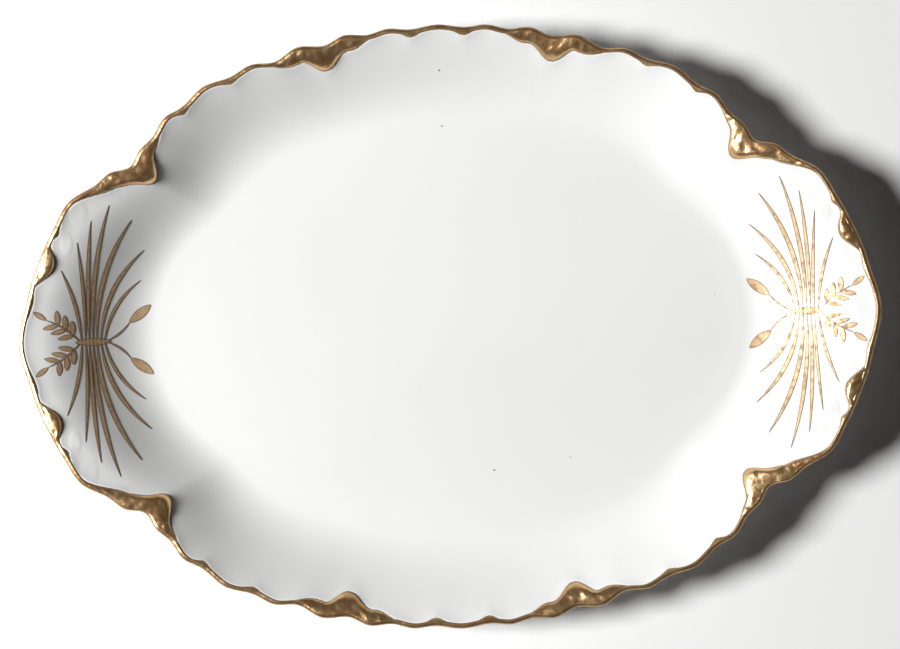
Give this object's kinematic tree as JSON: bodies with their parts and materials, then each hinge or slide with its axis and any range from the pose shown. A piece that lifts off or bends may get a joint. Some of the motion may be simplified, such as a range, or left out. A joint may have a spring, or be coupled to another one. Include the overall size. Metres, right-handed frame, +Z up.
{
  "type": "oval serving platter",
  "caption": "Oval porcelain serving platter with a scalloped rim, a raised gilt border with scrolled cartouches, gilt sprays on the end walls and a low foot ring.",
  "frame": {"origin": "middle of the plane that the foot ring stands on", "axes": "+X along the length, +Y to the back long side, +Z up out of the well"},
  "size_m": [0.406, 0.285, 0.0359],
  "materials": {
    "glaze": "glossy white glaze",
    "bisque": "bare unglazed porcelain",
    "gilding": "burnished fired gold over raised relief",
    "painted_gold": "fired gold brushwork"
  },
  "bodies": {
    "root": {"porcelain_body": "glaze", "foot_ring": "bisque", "gilt_lip": "gilding", "gilt_side_cartouche_back_right": "gilding", "gilt_side_cartouche_front_right": "gilding", "gilt_side_cartouche_front_left": "gilding", "gilt_side_cartouche_back_left": "gilding", "gilt_corner_cartouche_back_right": "gilding", "gilt_corner_cartouche_front_right": "gilding", "gilt_corner_cartouche_front_left": "gilding", "gilt_corner_cartouche_back_left": "gilding", "gilt_end_cartouche_back_right": "gilding", "gilt_end_cartouche_front_right": "gilding", "gilt_end_cartouche_front_left": "gilding", "gilt_end_cartouche_back_left": "gilding", "gilt_spray_right": "painted_gold", "gilt_spray_left": "painted_gold"}
  },
  "joints": []
}
